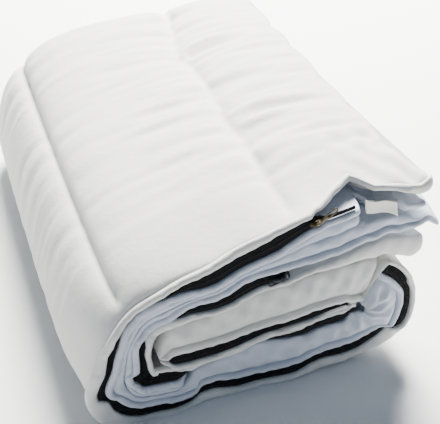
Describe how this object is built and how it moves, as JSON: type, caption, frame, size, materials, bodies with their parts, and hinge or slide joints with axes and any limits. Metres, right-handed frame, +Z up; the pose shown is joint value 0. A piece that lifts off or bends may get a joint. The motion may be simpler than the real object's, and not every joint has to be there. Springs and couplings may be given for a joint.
{
  "type": "rolled duvet",
  "caption": "Pair of white quilted duvets zipped together, folded once lengthwise and wound into a flat roll with an open, layered end.",
  "frame": {"origin": "middle of the roll's footprint, on the surface that it lies on", "axes": "+Y along the roll's axis towards the hidden fold, +Z up, +X towards the side with the loose ends"},
  "size_m": [0.4543, 0.7001, 0.2666],
  "materials": {
    "cotton_upper": "white cotton percale over soft filling",
    "cotton_lower": "white cotton percale over soft filling",
    "zip_tape": "woven black polyester tape with closed coil teeth",
    "antique_brass": "antique brass, tumbled",
    "gunmetal": "dark plated zinc",
    "label_cloth": "woven white label, blank"
  },
  "bodies": {
    "root": {"upper_quilt": "cotton_upper", "lower_quilt": "cotton_lower", "zip_tape_outer": "zip_tape", "zip_tape_inner": "zip_tape", "slider_outer": "antique_brass", "pull_outer": "antique_brass", "slider_inner": "gunmetal", "pull_inner": "gunmetal", "care_label": "label_cloth"}
  },
  "joints": []
}
